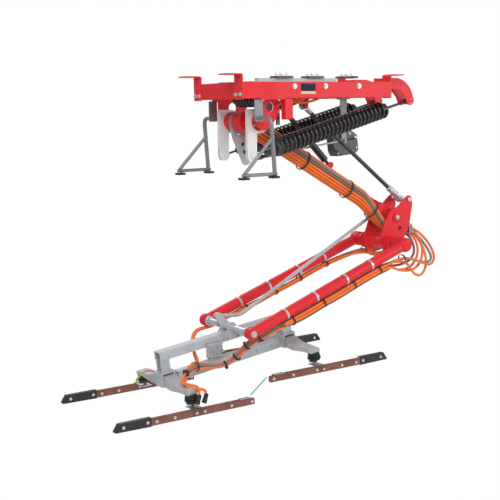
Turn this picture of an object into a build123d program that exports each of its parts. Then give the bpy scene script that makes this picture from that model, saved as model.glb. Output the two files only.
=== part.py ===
"""Inverted charging pantograph: a frame hung from a mast, a two-arm linkage and a four-strip head.

Millimetres. +X runs along the frame towards the spring hooks, +Y across it, +Z up.
The origin is the centre of the four mast bolt holes, on the top face of the mounting brackets.
"""

import os
from math import acos, cos, hypot, radians, sin, tan

from build123d import *

os.makedirs("parts", exist_ok=True)

# ---- driving dimensions -------------------------------------------------------------------
# frame
frame_length = 1180.0
frame_width = 560.0
beam_depth = 100.0
beam_flange = 45.0
beam_wall = 6.0
beam_top = -50.0
bracket_wall = 8.0
bracket_width = 85.0
bracket_reach = 120.0
mast_hole = 22.0
mast_hole_inset = 55.0

# pivots of the linkage, as (x, z) in the frame's own plane
shaft_at = (-400.0, -290.0)
knee_at = (815.0, -985.0)
apex_at = (-555.0, -1600.0)
cross_at = (742.0, -1160.0)
coupling_top_at = (75.0, -200.0)
coupling_end_at = (932.0, -868.0)
guide_top_at = (750.0, -963.0)
guide_bend_at = (-420.0, -1552.0)
guide_end_at = (-600.0, -1533.0)
damper_top_at = (-92.0, -172.0)
damper_end_at = (330.0, -600.0)
spring_hook_at = (frame_length / 2 + 250.0, -178.0)
spring_lever_at = (-456.0, -505.0)
drive_pivot_at = (480.0, -440.0)
drive_lever_at = (-338.0, -541.0)

# arms and the distances across the machine
running_fit = 0.05
arm_radius = 50.0
arm_wall = 6.0
shaft_radius = 40.0
housing_radius = 60.0
journal_radius = 30.0
journal_end_y = frame_width / 2 - 56.0
knee_half_width = 30.0
knee_pin_radius = 20.0
small_pin_radius = 10.0
guide_y = 64.0
damper_y = 60.0
drive_y = 91.0
spring_y = frame_width / 2 - 119.0
cheek_y = 87.0
cheek_wall = 10.0
cross_radius = 45.0
cross_hub_radius = 50.0
tube_radius = 36.0
tube_y_knee = 252.0
tube_y_apex = 270.0

# springs
spring_radius = 61.0
spring_wall = 7.0
spring_length = 946.0
spring_start = 220.0

# head, measured along the tilted beam (u) and square to it (v)
head_tilt = 7.0
head_shaft_radius = 22.0
head_half_width = 35.0
upper_beam_top = -24.0
upper_beam_depth = 55.0
upper_beam_u = (-535.0, 470.0)
lower_beam_v = (-180.0, -238.0)
rocker_u = (-500.0, 435.0)
rocker_v = -205.0
rocker_pin_radius = 14.0
insulator_y = 300.0
insulator_v = (-236.0, -289.0)
strip_pivot_v = -302.0
strip_y = 363.0
strip_inner = 400.0
strip_outer = 320.0
strip_width = 30.0
strip_height = 44.0
horn_reach = 240.0


# ---- planes and small helpers -------------------------------------------------------------
def side(y):
    """Sketch plane facing the near side at distance y: local x is +X, local y is +Z."""
    return Plane.XZ.offset(-y)


def head_side(y):
    """The same for the head, which stands tilted about the apex: local x runs along its beam."""
    along_beam = (cos(radians(head_tilt)), 0, sin(radians(head_tilt)))
    return Plane(origin=(apex_at[0], y, apex_at[1]), x_dir=along_beam, z_dir=(0, -1, 0))


def in_head(u, y, v):
    """World position of a point given along the head's beam, across it and square to it."""
    return head_side(y).from_local_coords(Vector(u, v, 0))


def across_head(u, v=0.0, y=0.0):
    """Sketch plane square to the head's beam: local x is +Y, local y points up the head."""
    along_beam = Vector(cos(radians(head_tilt)), 0, sin(radians(head_tilt)))
    return Plane(origin=in_head(u, y, v), x_dir=(0, 1, 0), z_dir=along_beam)


def point(at, y=0.0):
    return Vector(at[0], y, at[1])


def between(a, b, distance, y=0.0):
    """The point a given distance from a towards b."""
    start, end = point(a, y), point(b, y)
    return start + (end - start).normalized() * distance


def looking(a, b, y=0.0, distance=0.0):
    """Plane across the line from a to b, a given distance along it; local x is +Y."""
    start = between(a, b, distance, y)
    return Plane(origin=start, x_dir=(0, 1, 0), z_dir=point(b, y) - point(a, y))


def span(a, b):
    return hypot(b[0] - a[0], b[1] - a[1])


def save(part, name):
    part.label = name
    export_step(part, f"parts/{name}.step")


def ends(near, far):
    """Both signs of y with the name each side carries."""
    return ((-1, near), (1, far))


def barrel(at, steps, mode=Mode.ADD):
    """Round bar along Y about a pivot: steps are (from y, to y, radius)."""
    for start, stop, radius in steps:
        with BuildSketch(side(start)) as disc:
            with Locations(at):
                Circle(radius)
        extrude(disc.sketch, amount=start - stop, mode=mode)


def cable(points, radius):
    """Round cable through the points, each bend as large as its two runs allow."""
    edges = []
    start = Vector(*points[0])
    for before, corner, after in zip(points, points[1:], points[2:]):
        before, corner, after = Vector(*before), Vector(*corner), Vector(*after)
        incoming = (corner - before).normalized()
        outgoing = (after - corner).normalized()
        half_turn = acos(max(-1.0, min(1.0, incoming.dot(outgoing)))) / 2
        run = 0.45 * min((corner - before).length, (after - corner).length)
        inward = (outgoing - incoming).normalized()
        leave, join = corner - incoming * run, corner + outgoing * run
        bend = run / tan(half_turn)
        middle = corner + inward * (bend / cos(half_turn) - bend)
        edges += [Edge.make_line(start, leave), Edge.make_three_point_arc(leave, middle, join)]
        start = join
    edges.append(Edge.make_line(start, Vector(*points[-1])))
    with BuildSketch(Plane(origin=edges[0] @ 0, z_dir=edges[0] % 0)) as section:
        Circle(radius)
    sweep(section.sketch, path=Wire(edges))


beam_mid = beam_top - beam_depth / 2
beam_bottom = beam_top - beam_depth
half_length = frame_length / 2
half_width = frame_width / 2

# ---- frame: side beams and crossbeams -----------------------------------------------------
bolt_hole = 17.0
frame_bolts_x = (-205.0, 40.0, 315.0)
frame_bolts_z = -77.0

for sign, where in ends("near", "far"):
    with BuildPart() as side_beam:
        with BuildSketch(Plane.YZ.offset(-half_length)):
            with Locations((sign * (half_width - beam_flange / 2), beam_mid)):
                Rectangle(beam_flange, beam_depth)
            with Locations((sign * (half_width - beam_wall - beam_flange / 2), beam_mid)):
                Rectangle(beam_flange, beam_depth - 2 * beam_wall, mode=Mode.SUBTRACT)
        extrude(amount=frame_length)
        # end plates close the channel
        with BuildSketch(Plane.YZ.offset(-half_length)):
            with Locations((sign * (half_width - beam_flange / 2), beam_mid)):
                Rectangle(beam_flange, beam_depth)
        extrude(amount=beam_wall)
        with BuildSketch(Plane.YZ.offset(half_length - beam_wall)):
            with Locations((sign * (half_width - beam_flange / 2), beam_mid)):
                Rectangle(beam_flange, beam_depth)
        extrude(amount=beam_wall)
        with BuildSketch(side(sign * half_width)):
            with Locations([(x, frame_bolts_z) for x in frame_bolts_x]):
                Circle(bolt_hole / 2)
        extrude(amount=sign * 2 * beam_wall, mode=Mode.SUBTRACT)
    save(side_beam.part, f"side_beam_{where}")

cross_half = half_width - beam_flange
cross_flange = 60.0


def crossbeams(name, places):
    """Channels across the frame: each place is its x and the way its open side looks along X."""
    with BuildPart() as beams:
        for x, facing in places:
            with BuildSketch(side(-cross_half)) as section:
                with Locations((x + facing * cross_flange / 2, beam_mid)):
                    Rectangle(cross_flange, beam_depth)
                with Locations((x + facing * (cross_flange / 2 + beam_wall), beam_mid)):
                    Rectangle(cross_flange, beam_depth - 2 * beam_wall, mode=Mode.SUBTRACT)
            extrude(section.sketch, amount=-2 * cross_half)
    save(beams.part, name)


crossbeams("end_crossbeams", ((-half_length, 1), (half_length, -1)))
crossbeams(
    "inner_crossbeams",
    [(at[0] - cross_flange / 2, 1) for at in (damper_top_at, coupling_top_at, drive_pivot_at)],
)

# ---- mounting brackets: bent straps bolted to the four corners -----------------------------
bracket_bottom = beam_bottom - 6.0
bracket_y = half_width - bracket_width / 2
bend = 14.0
corner_bolts = 50.0
corner_bolt_z = beam_bottom + 25.0

with BuildPart() as mounting_brackets:
    for end in (-1, 1):
        for sign in (-1, 1):
            face = end * half_length
            with BuildSketch(side(sign * bracket_y)) as profile:
                with BuildLine():
                    Polyline(
                        (face, bracket_bottom),
                        (face + end * bracket_wall, bracket_bottom),
                        (face + end * bracket_wall, -bracket_wall),
                        (face + end * bracket_reach, -bracket_wall),
                        (face + end * bracket_reach, 0),
                        (face, 0),
                        close=True,
                    )
                make_face()
                fillet([v for v in profile.vertices() if abs(v.X - face) < 1 and abs(v.Y) < 1], bend)
            extrude(amount=bracket_width / 2, both=True)
            with BuildSketch(Plane.XY):
                with Locations((face + end * (bracket_wall + mast_hole_inset), sign * bracket_y)):
                    Circle(mast_hole / 2)
            extrude(amount=-2 * bracket_wall, mode=Mode.SUBTRACT)
    with BuildSketch(Plane.YZ.offset(-half_length - 2 * bracket_wall)):
        with Locations(
            [
                (sign * (bracket_y + side_of * corner_bolts / 2), corner_bolt_z)
                for sign in (-1, 1)
                for side_of in (-1, 1)
            ]
        ):
            Circle(bolt_hole / 2)
    extrude(amount=frame_length + 4 * bracket_wall, mode=Mode.SUBTRACT)
save(mounting_brackets.part, "mounting_brackets")


# ---- frame: bearing brackets under the side beams ------------------------------------------
bearing_y = frame_width / 2 - 75.0
bearing_wall = 14.0
bearing_flange = 8.0

with BuildPart() as bearing_brackets:
    for sign in (-1, 1):
        with BuildSketch(side(sign * (bearing_y + bearing_wall / 2))):
            with BuildLine():
                Polyline(
                    (shaft_at[0] - 62, beam_bottom),
                    (shaft_at[0] + 118, beam_bottom),
                    (shaft_at[0] + 112, shaft_at[1] + 40),
                    (shaft_at[0] + 50, shaft_at[1] - 30),
                    (shaft_at[0] - 50, shaft_at[1] - 30),
                    (shaft_at[0] - 62, shaft_at[1] + 60),
                    close=True,
                )
            make_face()
            with Locations(shaft_at):
                Circle(55)
            with Locations((shaft_at[0] + 46, -203)):
                Circle(32, mode=Mode.SUBTRACT)
        extrude(amount=bearing_wall)
        # flange bolted up against the side beam
        flange_reach = half_width - bearing_y + bearing_wall / 2
        with BuildSketch(Plane.XY.offset(beam_bottom)):
            with Locations((shaft_at[0] + 28, sign * (half_width - flange_reach / 2))):
                Rectangle(180, flange_reach)
            with Locations(
                [(shaft_at[0] + 28 + dx, sign * (half_width - beam_flange / 2)) for dx in (-60, 60)]
            ):
                Circle(bolt_hole / 2, mode=Mode.SUBTRACT)
        extrude(amount=-bearing_flange)
        # bored bearing boss
        with BuildSketch(side(sign * bearing_y - 14)):
            with Locations(shaft_at):
                Circle(48)
        extrude(amount=-28)
        with BuildSketch(side(sign * bearing_y - 40)):
            with Locations(shaft_at):
                Circle(journal_radius + running_fit)
        extrude(amount=-80, mode=Mode.SUBTRACT)
save(bearing_brackets.part, "bearing_brackets")

with BuildPart() as stop_blocks:
    for sign in (-1, 1):
        with BuildSketch(Plane.YZ.offset(shaft_at[0] + 122)):
            with Locations((sign * (half_width - 22), beam_bottom - 66)):
                RectangleRounded(44, 132, 10)
            with Locations((sign * (half_width - 22), beam_bottom - 78)):
                RectangleRounded(24, 84, 6, mode=Mode.SUBTRACT)
        extrude(amount=58)
save(stop_blocks.part, "stop_blocks")

# ---- frame: spring hooks at the right end --------------------------------------------------
hook_outer_y = spring_y + 44.0
hook_inner_y = spring_y - 44.0
hook_wall = 10.0
hook_pin_radius = 11.0

with BuildPart() as spring_hooks:
    for sign in (-1, 1):
        for plate_y, root_x in (
            (hook_outer_y, half_length + bracket_wall),
            (hook_inner_y, half_length),
        ):
            with BuildSketch(side(sign * plate_y + hook_wall / 2)):
                with BuildLine():
                    Line((root_x, -96), (root_x, -22))
                    Line((root_x, -22), (half_length + 116, -22))
                    ThreePointArc((half_length + 116, -22), (half_length + 216, -64), (half_length + 268, -150))
                    ThreePointArc((half_length + 268, -150), (half_length + 260, -200), (half_length + 215, -190))
                    ThreePointArc((half_length + 215, -190), (half_length + 184, -134), (half_length + 126, -96))
                    Line((half_length + 126, -96), (root_x, -96))
                make_face()
            extrude(amount=hook_wall)
        with BuildSketch(side(sign * hook_inner_y)):
            with Locations(spring_hook_at):
                Circle(hook_pin_radius)
        extrude(amount=-sign * (hook_outer_y - hook_inner_y + 16))
        # foot plate against the crossbeam
        with BuildSketch(Plane.YZ.offset(half_length)):
            with Locations((sign * (hook_inner_y + 33), -62)):
                Rectangle(78, 76)
        extrude(amount=bracket_wall)
save(spring_hooks.part, "spring_hooks")

# ---- frame: stands for the folded head -----------------------------------------------------
stand_y = 384.0
stand_tube_radius = 13.0
stand_top_z = -268.0
stand_foot_z = -606.0
stand_left_x = -660.0
stand_right_x = -440.0
pad_bottom_z = -632.0

with BuildPart() as stands:
    for sign in (-1, 1):
        with BuildLine():
            FilletPolyline(
                (stand_right_x - 22, sign * (half_width - 14), stand_top_z),
                (stand_right_x - 22, sign * stand_y, stand_top_z),
                (stand_right_x, sign * stand_y, stand_foot_z),
                radius=40,
            )
        stand_root = (stand_right_x - 22, sign * (half_width - 14), stand_top_z)
        with BuildSketch(Plane(origin=stand_root, z_dir=(0, sign, 0))):
            Circle(stand_tube_radius)
        sweep()
        for start, stop in (
            ((stand_right_x - 14, -390.0), (stand_left_x, stand_foot_z + 10)),
            ((stand_left_x - 14, stand_foot_z), (stand_right_x + 14, stand_foot_z)),
        ):
            with BuildSketch(looking(start, stop, sign * stand_y)):
                Circle(stand_tube_radius - 2)
            extrude(amount=span(start, stop))
        # plate that hangs the stand from the side beam
        with BuildSketch(side(sign * (half_width - 18) + 4)):
            with Locations((stand_right_x - 28, (beam_bottom - bearing_flange + stand_top_z - 22) / 2)):
                RectangleRounded(60, beam_bottom - bearing_flange - stand_top_z + 22, 8)
        extrude(amount=8)
save(stands.part, "stands")

with BuildPart() as stand_pads:
    for sign in (-1, 1):
        for x in (stand_left_x, stand_right_x):
            with BuildSketch(Plane.XY.offset(stand_foot_z - stand_tube_radius)):
                with Locations((x, sign * (stand_y - 8))):
                    RectangleRounded(54, 62, 9)
            extrude(amount=pad_bottom_z - stand_foot_z + stand_tube_radius, taper=6)
save(stand_pads.part, "stand_pads")

# ---- frame: lugs for the coupling rod, the damper and the drive -----------------------------
lug_wall = 10.0


def fork(at, y, gap, pin):
    """Two-cheek lug hanging from a crossbeam, with the pin it carries at the given point."""
    for turn in (-1, 1):
        with BuildSketch(side(y + turn * (gap + lug_wall) / 2 + lug_wall / 2)) as cheek:
            with BuildLine():
                Polyline(
                    (at[0] - 26, beam_bottom),
                    (at[0] + 26, beam_bottom),
                    (at[0] + 16, at[1] - 8),
                    (at[0] - 16, at[1] - 8),
                    close=True,
                )
            make_face()
            with Locations(at):
                Circle(18)
        extrude(cheek.sketch, amount=lug_wall)
    barrel(at, ((y - gap / 2 - lug_wall - 4, y + gap / 2 + lug_wall + 4, pin),))
    with BuildSketch(Plane.XY.offset(beam_bottom)) as foot:
        with Locations((at[0], y)):
            Rectangle(58, gap + 2 * lug_wall)
    extrude(foot.sketch, amount=-5)


with BuildPart() as frame_lugs:
    fork(coupling_top_at, 0.0, 34.0, 12.0)
    fork(damper_top_at, damper_y, 22.0, 8.0)
save(frame_lugs.part, "frame_lugs")

# ---- frame: rail and clamps on top ----------------------------------------------------------
with BuildPart() as top_rail:
    with BuildSketch(Plane.XY.offset(beam_top)):
        with Locations((-16, 0)):
            Rectangle(1096, 60)
    extrude(amount=6)
    with BuildSketch(Plane.YZ.offset(-300)):
        with Locations((0, beam_top + 6 + 13)):
            Rectangle(40, 26)
    extrude(amount=640)
save(top_rail.part, "top_rail")

with BuildPart() as rail_clamps:
    for x in (-102, 152, 443):
        with BuildSketch(side(-45)):
            with Locations((x, beam_top + 6 + 26 + 7)):
                Trapezoid(130, 14, 70)
        extrude(amount=-90)
save(rail_clamps.part, "rail_clamps")

# ---- main arm -------------------------------------------------------------------------------
arm_span = span(shaft_at, knee_at)
arm_end = 1262.0


def on_arm(distance, up=0.0):
    """Point (x, z) a distance along the main arm from the shaft and up square to it."""
    along = ((knee_at[0] - shaft_at[0]) / arm_span, (knee_at[1] - shaft_at[1]) / arm_span)
    return (
        shaft_at[0] + distance * along[0] - up * along[1],
        shaft_at[1] + distance * along[1] + up * along[0],
    )


def arm_envelope(skin, mode=Mode.ADD):
    """The arm's outer form shrunk by skin: round tube flaring at the shaft, narrowing at the knee."""
    for stations in (
        ((0, 46, 66), (260, arm_radius, arm_radius)),
        ((260, arm_radius, arm_radius), (1080, arm_radius, arm_radius)),
        ((1080, arm_radius, arm_radius), (arm_end, knee_half_width, 47)),
    ):
        sections = []
        for distance, across_half, up_half in stations:
            with BuildSketch(looking(shaft_at, knee_at, 0.0, distance)) as section:
                Ellipse(across_half - skin, up_half - skin)
            sections.append(section.sketch)
        loft(sections, mode=mode)


with BuildPart() as arm_shaft:
    barrel(
        shaft_at,
        (
            (-journal_end_y, journal_end_y, journal_radius),
            (-186, 186, shaft_radius),
            (-182, -102, housing_radius),
            (102, 182, housing_radius),
        ),
    )
save(arm_shaft.part, "arm_shaft")

with BuildPart() as main_arm_tube:
    arm_envelope(0)
    arm_envelope(arm_wall, Mode.SUBTRACT)
    barrel(shaft_at, ((-46, 46, 66),))
    barrel(shaft_at, ((-60, 60, shaft_radius),), Mode.SUBTRACT)
save(main_arm_tube.part, "main_arm_tube")

with BuildPart() as knee_hub:
    with BuildSketch(side(knee_half_width)):
        with BuildLine():
            corners = [(arm_end, 48), (arm_span, 48), (arm_span, -48), (arm_end, -48)]
            Polyline(*[on_arm(distance, up) for distance, up in corners], close=True)
        make_face()
        with Locations(knee_at):
            Circle(52)
    extrude(amount=2 * knee_half_width)
    barrel(knee_at, ((-50, 50, knee_pin_radius),), Mode.SUBTRACT)
    barrel(guide_top_at, ((knee_half_width, guide_y + 11, small_pin_radius),))
    barrel(guide_top_at, ((knee_half_width, guide_y - 12.5, 20),))
save(knee_hub.part, "knee_hub")

cheek_outer = cheek_y + cheek_wall / 2
cheek_inner = cheek_y - cheek_wall / 2

with BuildPart() as knee_pin:
    barrel(
        knee_at,
        (
            (-cheek_outer - 12, cheek_outer + 12, knee_pin_radius),
            (-cheek_outer - 11, -cheek_outer - 1, 32),
            (cheek_outer + 1, cheek_outer + 11, 32),
        ),
    )
save(knee_pin.part, "knee_pin")

# levers keyed to the shaft
lever_wall = 24.0
lever_slot = 14.0

with BuildPart() as spring_levers:
    for sign in (-1, 1):
        with BuildSketch(side(sign * spring_y + lever_wall / 2)):
            with BuildLine():
                Polyline((-490, -214), (-416, -214), (-424, -505), (-494, -505), close=True)
            make_face()
            with Locations(spring_lever_at):
                Circle(37)
            with Locations(shaft_at):
                Circle(housing_radius + 14)
        extrude(amount=lever_wall)
        with BuildSketch(side(sign * spring_y + lever_slot / 2)):
            with Locations((spring_lever_at[0], spring_lever_at[1] - 5)):
                Rectangle(90, 84)
        extrude(amount=lever_slot, mode=Mode.SUBTRACT)
        barrel(shaft_at, ((-journal_end_y, journal_end_y, housing_radius),), Mode.SUBTRACT)
        # heads of the pin, which is left out of the slot
        for turn in (-1, 1):
            face = sign * spring_y + turn * lever_wall / 2
            barrel(spring_lever_at, ((face, face + turn * 5, 14),))
save(spring_levers.part, "spring_levers")

drive_lever_y = 81.0
with BuildPart() as drive_lever:
    with BuildSketch(side(drive_lever_y + 3)):
        with BuildLine():
            plate = ((-462, -300), (-338, -290), (-322, -390), (-306, -545), (-366, -560), (-440, -395))
            Polyline(*plate, close=True)
        make_face()
        with Locations(drive_lever_at):
            Circle(33)
        with Locations(shaft_at):
            Circle(62)
            Circle(shaft_radius, mode=Mode.SUBTRACT)
        with Locations((-359, -437), (-348, -487)):
            Circle(14, mode=Mode.SUBTRACT)
        with Locations((-390, -372)):
            Circle(6, mode=Mode.SUBTRACT)
    extrude(amount=6)
save(drive_lever.part, "drive_lever")

with BuildPart() as damper_lug:
    with BuildSketch(side(46)):
        with BuildLine():
            Polyline(on_arm(860, 30), on_arm(720, 30), on_arm(745, 60), on_arm(775, 104), close=True)
        make_face()
        with Locations(damper_end_at):
            Circle(20)
    extrude(amount=14)
    arm_envelope(0, Mode.SUBTRACT)
    barrel(damper_end_at, ((46, damper_y - 13, 12),))
save(damper_lug.part, "damper_lug")

# power and signal cables strapped along the arm as far as the knee
cable_radius = 8.8
with BuildPart() as arm_cables:
    for turn in (-40, -22, -4, 14, 32, 50, 68):
        reach = arm_radius + cable_radius + 2
        route = [
            point(on_arm(distance, -(reach + lift) * sin(radians(turn))), -(reach + lift) * cos(radians(turn)))
            for distance, lift in ((120, 8), (340, 0), (1180, 0))
        ]
        cable(route, cable_radius)
save(arm_cables.part, "arm_cables")

# ---- forearm --------------------------------------------------------------------------------
cheek_outline = (
    (906, -848),
    (956, -848),
    (966, -905),
    (937, -1051),
    (898, -1126),
    (796, -1226),
    (700, -1226),
    (664, -1130),
    (712, -1011),
    (752, -948),
    (836, -906),
)

with BuildPart() as cheek_plates:
    for sign in (-1, 1):
        with BuildSketch(side(sign * cheek_y + cheek_wall / 2)) as cheek_face:
            with BuildLine():
                Polyline(*cheek_outline, close=True)
            make_face()
            fillet(cheek_face.vertices(), 22)
            with Locations((846, -1068)):
                Circle(18, mode=Mode.SUBTRACT)
            with Locations(knee_at):
                Circle(44)
                Circle(knee_pin_radius + running_fit, mode=Mode.SUBTRACT)
            with Locations(cross_at):
                Circle(cross_radius, mode=Mode.SUBTRACT)
            with Locations(coupling_end_at):
                Circle(29)
                Circle(12, mode=Mode.SUBTRACT)
        extrude(amount=cheek_wall)
save(cheek_plates.part, "cheek_plates")

with BuildPart() as coupling_pin:
    barrel(
        coupling_end_at,
        (
            (-cheek_outer - 8, -18, 12),
            (18, cheek_outer + 8, 12),
            (-cheek_inner, -18, 18),
            (18, cheek_inner, 18),
        ),
    )
save(coupling_pin.part, "coupling_pin")

hub_end_y = 292.0
with BuildPart() as knee_cross_tube:
    barrel(cross_at, ((-206, 206, cross_radius),))
    for sign in (-1, 1):
        barrel(cross_at, ((sign * 206, sign * hub_end_y, cross_hub_radius),))
        barrel(cross_at, ((sign * 146, sign * 160, cross_hub_radius + 8),))
    domes = knee_cross_tube.edges().filter_by(GeomType.CIRCLE)
    fillet([e for e in domes if abs(abs(e.center().Y) - hub_end_y) < 0.1], 28)
save(knee_cross_tube.part, "knee_cross_tube")

apex_hub_radius = 40.0
apex_hub_inner = 250.0
apex_hub_outer = 292.0
tube_face_y = tube_y_apex - tube_radius - 3.0


def forearm_axis(sign):
    return (
        Vector(cross_at[0], sign * tube_y_knee, cross_at[1]),
        Vector(apex_at[0], sign * tube_y_apex, apex_at[1]),
    )


def across_tube(sign, distance):
    """Plane across a forearm tube, a distance from the knee end; its local y points up."""
    knee_end, apex_end = forearm_axis(sign)
    direction = (apex_end - knee_end).normalized()
    x_axis = Vector(direction.Y, -direction.X, 0).normalized() * -1
    return Plane(origin=knee_end + direction * distance, x_dir=x_axis, z_dir=direction)


tube_length = (forearm_axis(1)[1] - forearm_axis(1)[0]).length

for sign, where in ends("near", "far"):
    with BuildPart() as forearm_tube:
        with BuildSketch(across_tube(sign, 0)):
            Circle(tube_radius)
            Circle(tube_radius - 5, mode=Mode.SUBTRACT)
        extrude(amount=tube_length)
        barrel(apex_at, ((sign * apex_hub_inner, sign * apex_hub_outer, apex_hub_radius),))
        barrel(cross_at, ((sign * 200, sign * hub_end_y, cross_hub_radius),), Mode.SUBTRACT)
        barrel(apex_at, ((sign * (tube_face_y - 1), sign * 310, head_shaft_radius + running_fit),), Mode.SUBTRACT)
    save(forearm_tube.part, f"forearm_tube_{where}")

with BuildPart() as tube_bands:
    for sign in (-1, 1):
        for distance in (330, 560, 830, 1085):
            with BuildSketch(across_tube(sign, distance)):
                Circle(tube_radius + 3)
                Circle(tube_radius + 0.1, mode=Mode.SUBTRACT)
            extrude(amount=16)
save(tube_bands.part, "tube_bands")

knee_clamp_x = 905.0

# the same cables in wide loops behind the knee, then strapped under the forearm tubes; each side
# has the y and z where it leaves the knee and the corners of its loops
cable_loops = {
    -1: (
        ((-66, -1060), ((980, -68, -1072), (1090, -120, -1150), (1140, -190, -1310), (1010, -250, -1372))),
        ((-66, -1079), ((965, -68, -1094), (1050, -130, -1190), (1085, -215, -1370), (970, -264, -1410))),
        ((-47, -1079), ((950, -52, -1084), (1010, -130, -1180), (1000, -200, -1290), (900, -278, -1330))),
    ),
    1: (
        ((-28, -1079), ((960, -20, -1088), (1060, 70, -1190), (1030, 190, -1330), (900, 236, -1352))),
        ((-9, -1079), ((950, 6, -1098), (1020, 90, -1210), (980, 205, -1320), (880, 255, -1320))),
        ((10, -1079), ((940, 30, -1092), (1000, 110, -1180), (960, 215, -1280), (870, 274, -1290))),
    ),
}
with BuildPart() as forearm_cables:
    for sign, loops in cable_loops.items():
        for turn, ((gate_y, gate_z), corners) in zip((-26, 0, 26), loops):
            reach = tube_radius + cable_radius + 5
            across, down = -sign * reach * sin(radians(turn)), -reach * cos(radians(turn))
            under = [across_tube(sign, distance).from_local_coords(Vector(across, down - sag, 0))
                     for distance, sag in ((60, 22), (330, 0), (1130, 0))]
            cable([(knee_clamp_x, gate_y, gate_z), *corners, *under], cable_radius)
save(forearm_cables.part, "forearm_cables")

# ---- rods between the pivots ----------------------------------------------------------------
def rod_eye(at, y, width, radius, bore):
    barrel(at, ((y - width / 2, y + width / 2, radius),))
    barrel(at, ((y - width / 2 - 5, y + width / 2 + 5, bore + running_fit),), Mode.SUBTRACT)


def bar(start, stop, y, first, last, radius, mode=Mode.ADD):
    """Round bar on the line between two pivots, from one distance along it to another."""
    with BuildSketch(looking(start, stop, y, first)) as disc:
        Circle(radius)
    extrude(disc.sketch, amount=last - first, mode=mode)


with BuildPart() as coupling_rod:
    length = span(coupling_top_at, coupling_end_at)
    bar(coupling_top_at, coupling_end_at, 0, 14, length - 14, 14)
    bar(coupling_top_at, coupling_end_at, 0, 16, 70, 16)
    bar(coupling_top_at, coupling_end_at, 0, length - 132, length - 44, 22)
    bar(coupling_top_at, coupling_end_at, 0, length - 60, length - 16, 14.5)
    rod_eye(coupling_top_at, 0, 30, 24, 12)
    barrel(coupling_end_at, ((-15, 15, 26),))
save(coupling_rod.part, "coupling_rod")

with BuildPart() as guide_rod:
    with BuildLine():
        FilletPolyline(
            point(guide_top_at, guide_y),
            point(guide_bend_at, guide_y),
            point(guide_end_at, guide_y),
            radius=150,
        )
    with BuildSketch(looking(guide_top_at, guide_bend_at, guide_y)):
        Circle(12)
    sweep()
    rod_eye(guide_top_at, guide_y, 20, 19, small_pin_radius)
    barrel(guide_end_at, ((guide_y - 10, guide_y + 10, 19), (guide_y + 10, guide_y + 13, 14)))
save(guide_rod.part, "guide_rod")

damper_sleeve = 17.0
with BuildPart() as damper_rod:
    bar(damper_top_at, damper_end_at, damper_y, 10, 60, 9)
    bar(damper_top_at, damper_end_at, damper_y, 36, 372, damper_sleeve)
    rod_eye(damper_top_at, damper_y, 20, 13, 8)
save(damper_rod.part, "damper_rod")

with BuildPart() as damper_cylinder:
    bar(damper_end_at, damper_top_at, damper_y, 48, 330, 24)
    bar(damper_end_at, damper_top_at, damper_y, 60, 320, 20, Mode.SUBTRACT)
    bar(damper_end_at, damper_top_at, damper_y, 300, 340, damper_sleeve + running_fit, Mode.SUBTRACT)
    bar(damper_end_at, damper_top_at, damper_y, 10, 50, 11)
    barrel(damper_end_at, ((damper_y - 10, damper_y + 10, 17), (damper_y + 10, damper_y + 16, 11)))
save(damper_cylinder.part, "damper_cylinder")

spring_reach = span(spring_hook_at, spring_lever_at)
for sign, where in ends("near", "far"):
    y = sign * spring_y
    coil_end = spring_start + spring_length
    with BuildPart() as spring:
        bar(spring_hook_at, spring_lever_at, y, spring_start, coil_end, spring_radius)
        bore = spring_radius - spring_wall
        bar(spring_hook_at, spring_lever_at, y, spring_start + 60, coil_end + 1, bore, Mode.SUBTRACT)
        bar(spring_hook_at, spring_lever_at, y, 14, spring_start, 9)
        bar(spring_hook_at, spring_lever_at, y, spring_start - 16, spring_start, 24)
        rod_eye(spring_hook_at, y, 24, 22, hook_pin_radius)
    save(spring.part, f"spring_{where}")

    with BuildPart() as spring_rod:
        plug = spring_reach - coil_end + 4
        bar(spring_lever_at, spring_hook_at, y, 12, plug + 56, 7)
        bar(spring_lever_at, spring_hook_at, y, plug, plug + 40, bore - 1)
        barrel(spring_lever_at, ((y - 6, y + 6, 17),))
    save(spring_rod.part, f"spring_rod_{where}")

# ---- drive: gear motor on a trunnion, screw rod to the shaft's lever -------------------------
drive_reach = span(drive_pivot_at, drive_lever_at)
gear_y = 125.0
gear_half_width = 36.0
drive_bracket_y = 81.0
trunnion_radius = 14.0


def drive_frame(y):
    """Sketch plane at y whose local x points from the lever to the trunnion, along the screw."""
    slope = Vector(drive_pivot_at[0] - drive_lever_at[0], 0, drive_pivot_at[1] - drive_lever_at[1])
    return Plane(origin=point(drive_pivot_at, y), x_dir=slope, z_dir=(0, -1, 0))


with BuildPart() as drive_bracket:
    with BuildSketch(side(drive_bracket_y + 3)):
        with BuildLine():
            Polyline((450, beam_bottom), (510, beam_bottom), (500, -440), (460, -440), close=True)
        make_face()
        with Locations(drive_pivot_at):
            Circle(28)
            Circle(trunnion_radius + running_fit, mode=Mode.SUBTRACT)
    extrude(amount=6)
    with BuildSketch(Plane.XY.offset(beam_bottom)):
        with Locations((480, drive_bracket_y)):
            Rectangle(60, 70)
    extrude(amount=-8)
save(drive_bracket.part, "drive_bracket")

with BuildPart() as gear_motor:
    with BuildSketch(drive_frame(gear_y + gear_half_width)) as gear_face:
        with BuildLine():
            casing = ((-84, 50), (84, 58), (132, 20), (132, -84), (96, -108), (-70, -100), (-84, -60))
            Polyline(*casing, close=True)
        make_face()
        fillet(gear_face.vertices(), 10)
    extrude(amount=2 * gear_half_width)
    barrel(drive_pivot_at, ((drive_bracket_y - 4, gear_y - gear_half_width + 3, trunnion_radius),))
    bar(drive_pivot_at, drive_lever_at, drive_y, -200, 200, 7.5, Mode.SUBTRACT)
save(gear_motor.part, "gear_motor")

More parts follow.
